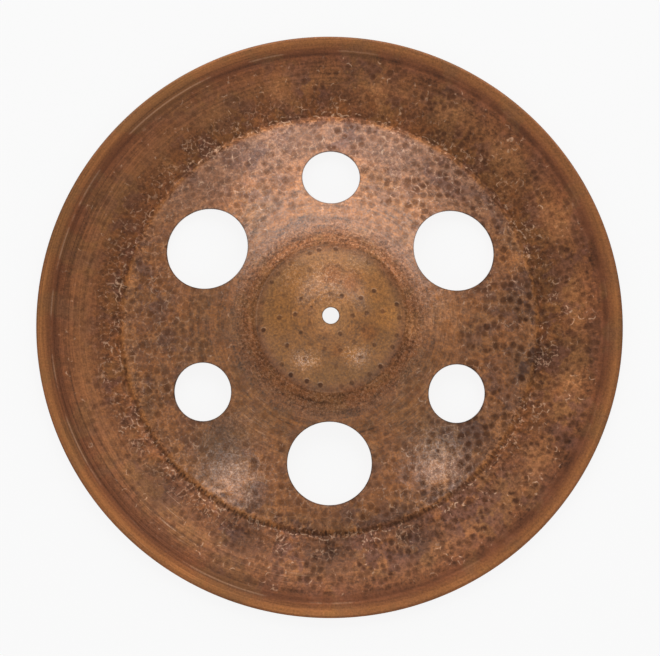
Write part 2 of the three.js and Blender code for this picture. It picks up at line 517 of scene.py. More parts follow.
# %% [markdown]
# ## Hammer marks
# The smith's hammers leave round marks in the bow, close together and never alike, longer
# marks across the crease and the flange, and rings of small pits on the bell. Scattered
# points of Voronoi cells stand for the blows. Each has its own size, side and force. Along
# the crease itself the blows are counted, so that they follow each other like beads.
#
# The bow's marks are scattered in plan. Those of the crease and the flange are scattered in a
# space that is wrapped round the axis, which makes them follow the ring and has no seam.

# %% Where the blows fall
BOW_MARK_CELL = 6.9 * MM
BOW_SMALL_CELL = 4.8 * MM
CREASE_MARK_WIDTH = 5.6 * MM
CREASE_MARK_LENGTH = 6.2 * MM
FLANGE_MARK_WIDTH = 4.9 * MM
FLANGE_MARK_LENGTH = 5.6 * MM
FLANGE_MIDDLE = 190 * MM
CROWD_SIZE = 24 * MM
CREASE_LINE_RADIUS = CREASE_RADIUS - 0.6 * MM
LONG_BLOWS = {"count": 126, "half_width": 3.7 * MM, "half_length": 2.2 * MM, "drift": 1.5 * MM}
CROSS_BLOWS = {"count": 290, "half_width": 1.25 * MM, "half_length": 3.3 * MM, "drift": 0.7 * MM}
CRESCENT_EDGES = (0.07, 0.1, 0.2)
SEAM_WIDTH = 0.10
HALVES = (0.5, 0.5, 0.5)


def shaken(bench, plan, reach, size):
    """The plan shaken a little, so that round marks come out as a hammer leaves them."""
    noise = bench.noise(plan, 1 / size, detail=2.0, roughness=0.6)
    shift = bench.vector("SUBTRACT", noise["Color"], HALVES)
    return bench.vector("ADD", plan, bench.scale(shift, 2 * reach))


def wrapped(bench, plan, width, length, at_radius):
    """The plan wrapped round the axis. One unit is a width along the ring or a length across."""
    radius = bench.vector("LENGTH", plan)
    x, y, _ = bench.parts(bench.scale(bench.vector("NORMALIZE", plan), at_radius / width))
    return bench.join(x, y, bench.math("DIVIDE", radius, length))


def blows(bench, place, dimensions, share, size=0.42, soft=0.28):
    """Marks of one hammer: the force of the blow inside each, and a bright crescent beside it."""
    cell = bench.cells(place, dimensions)
    size_draw, share_draw, force_draw = bench.parts(cell["Color"])
    reach = bench.stretch(size_draw, 0.45 * size, 0.75 * size)
    struck = bench.fade(bench.take(share, share_draw), -0.04, 0.04)
    force = bench.times(struck, bench.stretch(force_draw, 0.4, 0.58))
    inner, outer = bench.take(reach, soft), bench.add(reach, 0.5 * soft)
    dent = bench.times(bench.fade(cell["Distance"], outer, inner), force)
    offset = bench.vector("NORMALIZE", bench.vector("SUBTRACT", place, cell["Position"]))
    bright_side = bench.vector("SUBTRACT", cell["Color"], HALVES)
    bright_side = bench.vector("NORMALIZE", bright_side)
    facing = bench.fade(bench.vector("DOT_PRODUCT", offset, bright_side), 0.3, 0.8)
    ring_edges = [bench.add(reach, further) for further in CRESCENT_EDGES]
    ring = bench.hill(cell["Distance"], reach, *ring_edges)
    return dent, bench.times(ring, facing, struck)


def crowd(bench, plan):
    """How densely the smith struck here: 0 to 1, and up to one half more on the right."""
    across, _, _ = bench.parts(plan)
    right_side = bench.fade_mm(across, -30, 90, 0.0, 0.5)
    return bench.add(bench.cloud(plan, CROWD_SIZE, 4.0, detail=2.0), right_side)


def bow_place(bench, plan):
    return bench.scale(shaken(bench, plan, 1.8 * MM, 5 * MM), 1 / BOW_MARK_CELL)


def bow_marks(bench, plan):
    share = bench.stretch(crowd(bench, plan), 0.5, 0.55)
    return blows(bench, bow_place(bench, plan), "2D", share, size=0.46, soft=0.3)


def small_bow_marks(bench, plan):
    share = bench.stretch(crowd(bench, plan), 0.5, 0.4)
    place = bench.scale(shaken(bench, plan, 1.6 * MM, 4.5 * MM), 1 / BOW_SMALL_CELL)
    return blows(bench, bench.vector("ADD", place, (17.3, 5.9, 0.0)), "2D", share)


def crease_place(bench, plan):
    place = shaken(bench, plan, 1.6 * MM, 8 * MM)
    return wrapped(bench, place, CREASE_MARK_WIDTH, CREASE_MARK_LENGTH, CREASE_RADIUS)


def crease_marks(bench, plan):
    return blows(bench, crease_place(bench, plan), "3D", 0.9, size=0.46, soft=0.26)


def seams(bench, place, dimensions):
    """The thin lines of metal left between neighbouring blows."""
    cell = bench.cells(place, dimensions, feature="DISTANCE_TO_EDGE")
    return bench.fade(cell["Distance"], SEAM_WIDTH, 0.0)


def crease_blow(bench, plan, hammer):
    """Blow after blow along the crease.

    Gives 0 in the middle of a blow and 1 at its edge, and how far outwards a point lies.
    """
    moved = shaken(bench, plan, 1.3 * MM, 5 * MM)
    x, y, _ = bench.parts(moved)
    turn = bench.times(bench.math("ARCTAN2", y, x), hammer["count"] / (2 * math.pi))
    nearest = bench.math("ROUND", turn)
    number = bench.math("FLOORED_MODULO", nearest, float(hammer["count"]))
    square = bench.times(number, number)
    sideways = bench.times(bench.sine(bench.times(square, 1.3)), 0.18)
    outwards = bench.sine(bench.stretch(square, 0.7, number))
    outwards = bench.times(outwards, hammer["drift"])
    size = bench.stretch(bench.sine(bench.times(square, 2.1)), 0.25, 0.95)
    pitch = 2 * math.pi * CREASE_RADIUS / hammer["count"]
    along = bench.take(bench.take(turn, nearest), sideways)
    along = bench.times(along, pitch / hammer["half_width"])
    across = bench.take(bench.vector("LENGTH", moved), CREASE_LINE_RADIUS)
    across = bench.times(bench.take(across, outwards), 1 / hammer["half_length"])
    reach = bench.vector("LENGTH", bench.join(along, across, 0.0))
    return bench.math("DIVIDE", reach, size), across


def flange_marks(bench, plan):
    share = bench.stretch(crowd(bench, plan), 0.6, 0.5)
    place = shaken(bench, plan, 1.8 * MM, 5.5 * MM)
    place = wrapped(bench, place, FLANGE_MARK_WIDTH, FLANGE_MARK_LENGTH, FLANGE_MIDDLE)
    return blows(bench, place, "3D", share, size=0.5, soft=0.34)


# %% [markdown]
# The pits of the bell stand in four rings. Their places come from the CAD model's own rule:
# even steps round the ring, moved a little by sines of the pit's number. Another sine of the
# number says how hard the pit was struck.

# %% Pits on the bell
BELL_PIT_RADIUS = 2.0 * MM
PIT_STAIN_EDGES = (1.2 * BELL_PIT_RADIUS, 0.55 * BELL_PIT_RADIUS)
PIT_LIP_HIGHLIGHT_EDGES = [share * BELL_PIT_RADIUS for share in (0.8, 1.0, 1.15, 1.45)]
BELL_PIT_RING_SHARES = [0.28, 0.45, 0.66, 0.89]
BELL_PIT_COUNTS = [7, 14, 12, 26]
BELL_PIT_RADIAL_DRIFT = 0.9 * MM
BELL_PIT_PITCH_DRIFT_SHARE = 0.22


def bell_pits(bench, plan):
    """The bell's pits: 1 in the middle and 0 outside, the stain in each, and a painted highlight on
    the lip of its far side.
    """
    x, y, _ = bench.parts(plan)
    turn = bench.math("ARCTAN2", y, x)
    pits, stains, lip_highlights = [], [], []
    for ring, (count, share) in enumerate(zip(BELL_PIT_COUNTS, BELL_PIT_RING_SHARES)):
        pitch = 2 * math.pi / count
        nearest = bench.math("ROUND", bench.math("DIVIDE", turn, pitch))
        pit = bench.math("FLOORED_MODULO", nearest, float(count))
        square = bench.times(pit, pit)
        drift = bench.sine(bench.add(square, float(ring)))
        radial = bench.sine(bench.add(bench.add(square, pit), float(ring)))
        reach = bench.stretch(radial, BELL_PIT_RADIAL_DRIFT, share * BELL_RADIUS)
        angle = bench.times(bench.stretch(drift, BELL_PIT_PITCH_DRIFT_SHARE, pit), pitch)
        centre = bench.scale(bench.join(bench.math("COSINE", angle), bench.sine(angle), 0.0), reach)
        distance = bench.vector("DISTANCE", plan, centre)
        force = bench.stretch(bench.sine(bench.times(square, 2.7)), 0.3, 0.7)
        pits.append(bench.fade(distance, BELL_PIT_RADIUS, 0.0))
        stains.append(bench.times(bench.fade(distance, *PIT_STAIN_EDGES), force))
        _, rise, _ = bench.parts(bench.vector("SUBTRACT", plan, centre))
        # A painted highlight: only the lip on the far side of each pit, towards the large soft box,
        # is bright.
        lip_highlight = bench.times(bench.hill(distance, *PIT_LIP_HIGHLIGHT_EDGES), bench.fade_mm(rise, 0.4, 1.8))
        lip_highlights.append(bench.times(lip_highlight, bench.fade(force, 0.6, 0.9)))
    return bench.most(*pits), bench.most(*stains), bench.most(*lip_highlights)


# %% [markdown]
# ## Hammering the mesh
# A tree of geometry nodes moves each point of both faces along the blow. The dents keep their
# bottoms on the planned surface and the metal between them is raised, so the disc never
# sinks under the ring that it stands on. Only the bell's pits go down. The seat for the felts
# and the lathed rim band are left alone.

# %% The hammer tree
DEPTHS = {
    "Bow dent depth": 0.10 * MM,
    "Crease dent depth": 0.38 * MM,
    "Flange dent depth": 0.12 * MM,
    "Bell pit depth": 0.42 * MM,
}


def bow_zone(bench, radius):
    return bench.ring(radius, 61, 78, 159, 164)


def crease_zone(bench, radius):
    return bench.ring(radius, 158, 164, 171, 178)


def flange_zone(bench, radius):
    return bench.ring(radius, 166, 170, 209, 215)


hammer_tree = bpy.data.node_groups.new("hammer_the_disc", "GeometryNodeTree")
hammer_tree.is_modifier = True
face = hammer_tree.interface
face.new_socket("Geometry", in_out="OUTPUT", socket_type="NodeSocketGeometry")
face.new_socket("Geometry", in_out="INPUT", socket_type="NodeSocketGeometry")
input_kinds = {name: "NodeSocketFloat" for name in DEPTHS}
input_kinds["Finish"] = "NodeSocketMaterial"
tree_inputs = {}
for name, kind in input_kinds.items():
    tree_inputs[name] = face.new_socket(name, in_out="INPUT", socket_type=kind).identifier

bench = Bench(hammer_tree)
given = bench.node("NodeGroupInput").outputs


def stored_vector(name):
    read = bench.node("GeometryNodeInputNamedAttribute", data_type="FLOAT_VECTOR")
    read.inputs["Name"].default_value = name
    return read.outputs["Attribute"]


def raised(dent, zone, depth):
    """Metal between the dents stands a dent's depth above their bottoms."""
    return bench.times(bench.take(1.0, dent), zone, depth)


plan, up = stored_vector("plan"), stored_vector("up")
radius = bench.vector("LENGTH", plan)
long_blow, _ = crease_blow(bench, plan, LONG_BLOWS)
crease_dent = bench.most(crease_marks(bench, plan)[0], bench.fade(long_blow, 1.3, 0.2))
flange_dent, _ = flange_marks(bench, plan)
move = raised(bow_marks(bench, plan)[0], bow_zone(bench, radius), given["Bow dent depth"])
move = bench.add(move, raised(crease_dent, crease_zone(bench, radius), given["Crease dent depth"]))
move = bench.add(move, raised(flange_dent, flange_zone(bench, radius), given["Flange dent depth"]))
pit, _, _ = bell_pits(bench, plan)
move = bench.take(move, bench.times(pit, given["Bell pit depth"]))

set_place = bench.node("GeometryNodeSetPosition")
bench.feed(set_place.inputs["Geometry"], given["Geometry"])
bench.feed(set_place.inputs["Offset"], bench.scale(up, move))
realize = bench.node("GeometryNodeRealizeInstances")
bench.feed(realize.inputs["Geometry"], set_place.outputs["Geometry"])
set_finish = bench.node("GeometryNodeSetMaterial")
bench.feed(set_finish.inputs["Geometry"], realize.outputs["Geometry"])
bench.feed(set_finish.inputs["Material"], given["Finish"])
bench.feed(bench.node("NodeGroupOutput").inputs["Geometry"], set_finish.outputs["Geometry"])
print("hammer tree has", len(hammer_tree.nodes), "nodes")

# %% [markdown]
# ## The bronze
# Old bronze is not one colour. Under a brown skin of oxide the bell shows olive and yellow, the bow
# brown with a dusty pink on its far side, and the crease and its neighbours a dark purple. That
# pink is partly a painted sheen of the large soft box. The marks hold more oxide, the metal between
# them is rubbed bright, and the lathe has left fine rings.
# A thin clear layer gives the pale sheen that lies over the brown where a lamp is mirrored.

# %% Colours by zone
ZONE_COLOURS = [
    (0.0, (0.63, 0.287, 0.067)),
    (13.0, (0.43, 0.168, 0.038)),
    (18.0, (0.365, 0.137, 0.027)),
    (32.0, (0.385, 0.147, 0.026)),
    (42.0, (0.41, 0.158, 0.029)),
    (50.0, (0.43, 0.172, 0.038)),
    (57.0, (0.31, 0.112, 0.036)),
    (66.0, (0.265, 0.097, 0.033)),
    (85.0, (0.37, 0.127, 0.023)),
    (100.0, (0.41, 0.141, 0.027)),
    (125.0, (0.47, 0.158, 0.032)),
    (150.0, (0.50, 0.170, 0.035)),
    (158.0, (0.63, 0.233, 0.059)),
    (163.0, (0.60, 0.224, 0.065)),
    (166.0, (0.270, 0.088, 0.023)),
    (171.0, (0.272, 0.092, 0.026)),
    (178.0, (0.240, 0.082, 0.023)),
    (186.0, (0.255, 0.090, 0.029)),
    (193.0, (0.315, 0.120, 0.040)),
    (209.0, (0.25, 0.085, 0.029)),
    (213.0, (0.200, 0.063, 0.021)),
    (215.0, (0.130, 0.039, 0.012)),
    (218.0, (0.205, 0.065, 0.021)),
    (225.0, (0.355, 0.132, 0.038)),
    (228.6, (0.295, 0.108, 0.035)),
]
DARK_OXIDE = (0.096, 0.034, 0.014)
PURPLE_OXIDE = (0.142, 0.054, 0.034)
OLIVE_OXIDE = (0.190, 0.098, 0.031)
# Dusty pink, partly a painted sheen of the large soft box on the far side of the bow.
DUSTY_AND_SHEEN_PINK = (0.37, 0.165, 0.085)
# Red of oxide spots, also used for a painted reflection band on the bell.
RED_OXIDE_AND_REFLECTION = (0.33, 0.110, 0.026)
# Colour of rubbed metal, also used for painted glints and highlights.
RUBBED_AND_GLINT = (0.74, 0.46, 0.29)
# Colour of scrubbed metal, also used for two painted glints of the small soft boxes.
SCRUBBED_AND_GLINT = (0.49, 0.200, 0.070)


def colour_mix(bench, share, a, b, blend="MIX"):
    node = bench.node("ShaderNodeMix", data_type="RGBA", blend_type=blend)
    bench.feed(node.inputs[0], share)
    for socket, value in ((node.inputs[6], a), (node.inputs[7], b)):
        bench.feed(socket, (*value, 1.0) if isinstance(value, tuple) else value)
    return node.outputs[2]


bronze = bpy.data.materials.new("aged_hammered_bronze")
bronze.use_nodes = True
bench = Bench(bronze.node_tree)
bronze.node_tree.nodes.clear()
plan = bench.node("ShaderNodeAttribute", attribute_name="plan").outputs["Vector"]
gap = bench.node("ShaderNodeAttribute", attribute_name="gap").outputs["Fac"]
radius = bench.vector("LENGTH", plan)

ramp = bench.node("ShaderNodeValToRGB")
while len(ramp.color_ramp.elements) < len(ZONE_COLOURS):
    ramp.color_ramp.elements.new(0.5)
for element, (at, colour) in zip(ramp.color_ramp.elements, ZONE_COLOURS):
    element.position = at * MM / RIM_RADIUS
    element.color = (*colour, 1.0)
bench.feed(ramp.inputs[0], bench.math("DIVIDE", radius, RIM_RADIUS))

# %% [markdown]
# A patina is darker where hands and cloths never reached, and lighter where they did. Such places
# are listed: each has a radius in millimetres, an angle in degrees from the +X axis, a spread in
# millimetres and a strength.
#
# Dark stains hold more oxide and scrubbed places hold less; two scrubbed places on the near side of
# the bow are a painted glint of the small soft boxes. Olive places keep a greener skin.
# Scratched places carry fine lines along the lathe's way, and scribbled ones bright curls, which
# are partly a painted glint where lamps are mirrored.
# Deep places only make what lies on them somewhat darker. Light places make it paler, and most of
# them are painted highlights where lamps are mirrored.

# %% Stains and scrubbed places
DARK_STAINS = [
    (76, -40, 16, 0.9),
    (66, 215, 14, 0.7),
    (60, 150, 12, 0.5),
    (125, -28, 34, 0.9),
    (150, 8, 22, 0.6),
    (146, 58, 20, 0.6),
    (128, 113, 26, 0.6),
    (150, 168, 26, 0.6),
    (171, -56, 20, 0.7),
    (172, -8, 22, 0.8),
    (184, 94, 24, 0.7),
    (176, 239, 18, 0.5),
    (178, 200, 24, 0.5),
    (205, -26, 26, 0.7),
    (203, 14, 22, 0.6),
    (200, 150, 26, 0.4),
    (152, 88, 24, 0.6),
    (66, -30, 14, 0.6),
    (178, 240, 32, 1.0),
    (180, 262, 34, 1.0),
    (180, 284, 34, 1.0),
    (178, 304, 30, 0.9),
    (178, 128, 26, 0.5),
    (176, 160, 24, 0.5),
    (165, 14, 15, 0.8),
    (165, 0, 15, 0.8),
    (165, -14, 15, 0.8),
]
OLIVE_PLACES = [
    (124, -44, 52, 0.8),
    (128, 230, 46, 0.8),
    (92, -52, 26, 0.5),
    (150, 40, 20, 0.4),
    (178, 118, 30, 0.4),
]
SCRATCHED_PLACES = [
    (98, 236, 34, 1.0),
    (94, -56, 28, 0.8),
    (84, -4, 24, 0.7),
    (84, 100, 26, 0.5),
    (198, 232, 40, 0.8),
    (188, 262, 30, 0.5),
    (20, 95, 16, 0.9),
]
# Scribbled places. Most lie where lamps are mirrored, on the far side of the bell and bow and at
# the small soft boxes' highlights, so their curls are partly a painted glint.
SCRIBBLED_AND_GLINT_PLACES = [
    (26, 100, 30, 1.0),
    (44, 132, 22, 0.7),
    (46, 66, 20, 0.6),
    (37, 238, 15, 1.4),
    (36, -58, 15, 1.4),
    (66, 130, 24, 0.6),
    (66, 52, 22, 0.6),
    (143, 239, 30, 1.0),
    (143, 307, 30, 1.0),
    (112, 230, 24, 0.5),
    (140, 108, 34, 0.6),
    (136, 70, 34, 0.6),
]
# Light places. Those on the right are a paler patina. Those over the far side of the bow, crease
# and flange, at the small soft boxes' highlights near 240 and 305 degrees, and on the near side of
# the rim band are painted highlights.
LIGHT_AND_HIGHLIGHT_PLACES = [
    (197, 5, 34, 1.5),
    (197, -18, 30, 1.3),
    (197, 28, 32, 1.4),
    (196, 50, 30, 0.5),
    (52, 0, 18, 1.1),
    (62, -8, 16, 1.0),
    (90, 0, 24, 0.5),
    (184, 75, 34, 0.8),
    (184, 100, 34, 0.8),
    (168, 90, 26, 1.0),
    (168, 108, 24, 0.8),
    (168, 72, 24, 0.8),
    (37, 238, 13, 1.0),
    (36, -58, 13, 1.0),
    (143, 239, 22, 0.6),
    (143, 307, 22, 0.6),
    (225, 240, 30, 0.6),
    (225, 270, 34, 0.7),
    (225, 300, 30, 0.6),
    (116, 90, 42, 1.2),
    (120, 58, 30, 0.5),
    (120, 122, 30, 0.5),
]
DEEP_PLACES = [
    (155, 5, 26, 1.0),
    (166, 10, 16, 1.2),
    (166, -9, 16, 1.2),
    (155, -12, 24, 1.0),
    (181, 225, 30, 1.0),
    (176, 248, 32, 1.5),
    (176, 270, 32, 1.5),
    (176, 292, 32, 1.5),
    (125, 226, 26, 0.7),
    (150, 248, 14, 0.5),
    (132, -38, 26, 0.6),
    (32, -12, 12, 0.5),
]
SCRUBBED_AND_GLINT_PLACES = [
    (177, 136, 18, 0.7),
    (179, 38, 18, 0.6),
    (190, 8, 16, 0.7),
    (187, 80, 22, 0.8),
    (187, 102, 20, 0.7),
    (192, 60, 22, 0.8),
    (193, 44, 20, 0.8),
    (193, 24, 20, 0.9),
    (194, -14, 20, 0.9),
    (193, -34, 18, 0.7),
    (191, 120, 16, 0.6),
    (201, -11, 14, 0.5),
    (196, 290, 26, 0.3),
    (86, 2, 28, 1.0),
    (64, -4, 14, 0.8),
    (92, 92, 20, 0.5),
    (100, 235, 22, 0.4),
    # These two are a painted glint where the small soft boxes are mirrored on the bow.
    (143, 239, 22, 0.6),
    (143, 307, 22, 0.6),
]
PLACE_CORE = 0.15


def places_share(bench, plan, places):
    """Each place's strength in its middle, and 0 away from all of them."""
    shares = []
    for at, angle, spread, strength in places:
        middle = Vector((math.cos(angle * DEGREE), math.sin(angle * DEGREE), 0.0)) * at * MM
        distance = bench.vector("DISTANCE", plan, tuple(middle))
        core = PLACE_CORE * spread * MM
        shares.append(bench.fade(distance, spread * MM, core, 0.0, strength))
    return bench.most(*shares)


drifted = shaken(bench, plan, 12 * MM, 24 * MM)
stain = places_share(bench, drifted, DARK_STAINS)
# Scrubbed places, two of them a painted glint of the small soft boxes.
scrub_and_glint = places_share(bench, drifted, SCRUBBED_AND_GLINT_PLACES)
olive = places_share(bench, drifted, OLIVE_PLACES)

# %% [markdown]
# The marks are the same ones that the hammer tree struck, and small ones of a lighter hammer
# lie between them in colour alone. How dark they are goes with the crowd of blows, with the
# stains and with the zone: weak near the bell, strong towards the crease.

# %% Marks in the patina
patch = bench.cloud(plan, 30 * MM, 1.3, detail=4.0)
bloom = bench.cloud(plan, 15 * MM, 5.2, detail=3.0)
mottle = bench.cloud(plan, 8 * MM, 2.1, detail=3.0, roughness=0.6)
speck = bench.cloud(plan, 2.2 * MM, 3.7, detail=2.0, roughness=0.6)
bow_share = bow_zone(bench, radius)
crease_share = crease_zone(bench, radius)
flange_share = flange_zone(bench, radius)
across, along, _ = bench.parts(plan)

oxide = bench.stretch(patch, 0.45, 0.2)
oxide = bench.add(oxide, bench.take(bench.times(stain, 0.7), bench.times(scrub_and_glint, 0.55)))
oxide = bench.fade(oxide, 0.0, 1.0)
zone_force = bench.fade_mm(radius, 64, 124, 0.55, 1.0)
hard_side = bench.fade_mm(across, -80, 70, 0.9, 1.12)
small_side = bench.fade_mm(across, -40, -120, 0.5, 1.0)
# Marks fade a little towards the far side, partly wear and partly a painted sheen where the large
# soft box is mirrored.
worn_and_sheen_top = bench.fade_mm(along, 40, 120, 1.0, 0.95)
turned_left = bench.ring(radius, 178, 196, 225, 230)
turned_left = bench.times(turned_left, bench.fade_mm(across, 0, -130))

bow_dent, bow_crescent = bow_marks(bench, plan)
small_dent, small_crescent = small_bow_marks(bench, plan)
crease_dent, crease_crescent = crease_marks(bench, plan)
flange_dent, flange_crescent = flange_marks(bench, plan)
_, pit_stain, pit_lip_highlight = bell_pits(bench, plan)

mark_force = bench.times(bench.stretch(oxide, 0.7, 0.6, clamp=True), hard_side)
dark = bench.most(bow_dent, bench.times(small_dent, small_side))
dark = bench.times(dark, bow_share, zone_force, mark_force, worn_and_sheen_top)
dark = bench.most(dark, bench.times(crease_dent, crease_share, 0.55))
flange_force = bench.stretch(turned_left, -0.35, 1.15)
dark = bench.most(dark, bench.times(flange_dent, flange_share, mark_force, flange_force))
ragged = bench.stretch(speck, 0.6, 0.6, clamp=True)
ragged = bench.most(ragged, bench.fade_mm(across, 0, 90, 0.0, 0.9))
dark = bench.times(dark, ragged)
dark = bench.most(dark, pit_stain)
clump_zone = bench.most(
    bench.ring(radius, 148, 160, 178, 190),
    bench.times(bench.ring(radius, 55, 60, 72, 84), 0.7),
    bench.times(bow_share, 0.45),
)
clumps = bench.fade(bench.cloud(plan, 3 * MM, 8.3, detail=2.0), 0.55, 0.85)
dark = bench.most(dark, bench.times(clumps, clump_zone, bench.fade(bloom, 0.25, 0.65), 0.7))

# %% [markdown]
# Along the crease the long marks of one hammer stand side by side, and on the near side the
# narrow marks of another cross it. Oxide fills them, so together they read as a dark line.

# %% The dark line of the crease
blow, blow_out = crease_blow(bench, plan, LONG_BLOWS)
cross_blow, _ = crease_blow(bench, plan, CROSS_BLOWS)
line_force = bench.stretch(oxide, 0.4, 0.6)
wavering = bench.vector("LENGTH", shaken(bench, plan, 2.2 * MM, 9 * MM))
crease_line = bench.ring(wavering, 162, 164.5, 165.5, 168)
line_cloud = bench.cloud(plan, 9 * MM, 7.7, detail=2.0)
line_force = bench.times(line_force, bench.fade(line_cloud, 0.2, 0.6, 0.4, 1.0))
near_side = bench.fade_mm(along, -50, -110)
long_force = bench.stretch(near_side, -0.3, 0.9)
dark = bench.most(dark, bench.times(bench.fade(blow, 1.2, 0.6), line_force, long_force))
dark = bench.most(dark, bench.times(bench.fade(cross_blow, 1.2, 0.5), near_side, 0.85))
dark = bench.most(dark, bench.times(crease_line, line_force, 0.3))

# %% [markdown]
# Where the metal stands proud it is rubbed to thin bright threads: crescents beside the marks, rims
# of the blows along the crease and broken seams between them. They come in clusters. A painted
# highlight on the far-side lips of the bell's pits is laid on with them.

# %% Bright threads
cluster = bench.cloud(plan, 16 * MM, 6.6, detail=2.0)
broken = bench.fade(mottle, 0.25, 0.6)
thread_share = bench.times(bench.fade(cluster, 0.3, 0.8), broken)

net = seams(bench, crease_place(bench, plan), "3D")
net = bench.times(net, bench.ring(radius, 157, 165, 176, 190))
bow_net = seams(bench, bow_place(bench, plan), "2D")
bow_net = bench.times(bow_net, bow_share, bench.fade_mm(radius, 90, 135))
net = bench.times(bench.most(net, bench.times(bow_net, 0.9)), bench.fade(speck, 0.3, 0.6), 0.6)
outer_rim = bench.times(bench.hill(blow, 1.0, 1.2, 1.3, 1.55), bench.fade(blow_out, -0.2, 0.5))
ridge_share = bench.fade(bench.cloud(plan, 28 * MM, 9.1, detail=2.0), 0.2, 0.6)
ridge_share = bench.times(ridge_share, bench.fade(mottle, 0.1, 0.45))
crescents = bench.most(bow_crescent, bench.times(small_crescent, 0.6))
crescents = bench.times(crescents, bow_share, zone_force, 0.9)
crescents = bench.most(crescents, bench.times(crease_crescent, crease_share))
crescents = bench.most(crescents, bench.times(flange_crescent, flange_share, 0.75))
outer_rim = bench.times(outer_rim, ridge_share, bench.fade(speck, 0.1, 0.45), 0.8)
left_net = bench.times(net, bench.fade_mm(across, 20, -100, 0.2, 0.6))
left_net = bench.times(left_net, bench.fade(mottle, 0.15, 0.55))
threads_and_pit_highlights = bench.most(bench.times(bench.most(net, crescents), thread_share), outer_rim, left_net)
# The far-side lips of the bell's pits are a painted highlight, laid on with the threads.
threads_and_pit_highlights = bench.most(threads_and_pit_highlights, bench.times(pit_lip_highlight, 0.45))

# %% [markdown]
# The lathe leaves lines round the axis. They are noise in the wrapped space, stretched along
# the ring, so each line is a broken arc. They show most beside the bell, on the outer flange
# and on the rim band. Scratches are the brightest of such arcs, and scribbles are the places
# where another noise crosses its middle value, which draws thin curling lines.

# %% Lathe lines and grain
LATHE_MIDDLE = 150 * MM


def streaks(bench, spacing, length):
    """Broken arcs round the axis, around zero."""
    place = wrapped(bench, plan, length, spacing, LATHE_MIDDLE)
    return bench.centred(bench.noise(place, 1.0, detail=3.0, roughness=0.65)[0])


lathe_zone = bench.most(
    bench.ring(radius, 10, 14, 24, 40),
    bench.ring(radius, 54, 58, 96, 125),
    bench.ring(radius, 180, 196, 240, 250),
)
wide_streaks = bench.times(streaks(bench, 5.5 * MM, 140 * MM), 0.8)
lathe = bench.add(streaks(bench, 2.2 * MM, 60 * MM), wide_streaks)
turned_side = bench.most(bench.fade_mm(across, 60, -110, 0.6, 0.9), bench.fade_mm(radius, 190, 150))
lathe = bench.times(lathe, bench.stretch(lathe_zone, 0.75, 0.25), turned_side)
lathe = bench.add(lathe, bench.times(streaks(bench, 1.1 * MM, 380 * MM), turned_left, 0.75))
scratches = bench.fade(streaks(bench, 1.5 * MM, 34 * MM), 0.10, 0.19)
scratches = bench.times(scratches, places_share(bench, drifted, SCRATCHED_PLACES))
curl_place = shaken(bench, plan, 1.2 * MM, 4 * MM)
curl = bench.noise(curl_place, 1 / (3.4 * MM), detail=2.0, roughness=0.6)[0]
scribbles_and_glints = bench.fade(bench.math("ABSOLUTE", bench.centred(curl)), 0.045, 0.0)
# Scribbles, partly a painted glint where lamps are mirrored.
scribble_and_glint_share = places_share(bench, drifted, SCRIBBLED_AND_GLINT_PLACES)
root_scribbles = bench.times(bench.ring(radius, 55, 60, 70, 80), 0.45)
scribble_and_glint_share = bench.most(scribble_and_glint_share, root_scribbles)
scribbles_and_glints = bench.times(scribbles_and_glints, scribble_and_glint_share, bench.fade(speck, 0.1, 0.5))
grain = bench.centred(bench.noise(plan, 650.0, detail=3.0, roughness=0.7)[0])

# %% [markdown]
# The colour is laid on in coats over the zone's own: olive, a dusty pink on the far side of the bow
# that is partly a painted sheen, scrubbed metal with two painted glints, purple oxide, red on the
# bell that is partly a painted reflection band, the dark marks and the bright lines. Then lathe
# lines, grain and clouds shade the whole, light places add painted highlights, deep places darken,
# and the edges of the holes darken.

# %% Colour of the bronze
# Red places on the bell. The two on its far side, at 62 and 88 degrees, paint a reflection band;
# the other two are red spots.
RED_OXIDE_AND_REFLECTION_PLACES = [(31, 88, 12, 0.9), (31, 62, 12, 0.9), (32, -22, 10, 0.7), (27, -80, 7, 0.6)]
TONE_STRENGTH = 0.3

turned_line = bench.most(
    bench.ring(radius, 56.2, 57.0, 57.4, 58.2),
    bench.ring(radius, 216.6, 217.2, 217.6, 218.4),
)
olive = bench.most(bench.times(bench.fade(patch, 0.45, 0.9), 0.3), bench.times(olive, 0.7))
colour = colour_mix(bench, olive, ramp.outputs["Color"], OLIVE_OXIDE)
# A dusty pink on the far side of the bow, partly painted sheen: the pinker tint where the large
# soft box is mirrored.
dusty_and_sheen = bench.ring(radius, 112, 140, 161, 165)
dusty_and_sheen = bench.times(dusty_and_sheen, bench.fade_mm(along, 50, 115), 0.75)
colour = colour_mix(bench, dusty_and_sheen, colour, DUSTY_AND_SHEEN_PINK)
uneven = bench.fade_mm(radius, 210, 216, 1.0, 0.35)
uneven = bench.times(uneven, bench.stretch(turned_left, -0.5, 1.0))
scrubbed_and_glint_share = bench.times(scrub_and_glint, bench.fade(mottle, 0.1, 0.7))
scrubbed_and_glint_share = bench.most(scrubbed_and_glint_share, bench.fade_mm(gap, 9, 1, 0.0, 0.35))
colour = colour_mix(bench, bench.times(scrubbed_and_glint_share, 0.7), colour, SCRUBBED_AND_GLINT)
purple = bench.most(bench.fade(bloom, 0.4, 0.85), bench.times(bench.fade(mottle, 0.45, 0.9), 0.3))
purple = bench.times(purple, bench.fade_mm(radius, 54, 150, 0.2, 0.75))
outer_ring = bench.times(bench.ring(radius, 198, 205, 211, 215), bench.fade(bloom, 0.25, 0.7), 0.6)
purple = bench.most(purple, bench.times(outer_ring, bench.fade_mm(across, -120, 40)))
purple = bench.times(purple, bench.stretch(oxide, 0.9, 0.25, clamp=True), uneven)
colour = colour_mix(bench, purple, colour, PURPLE_OXIDE)
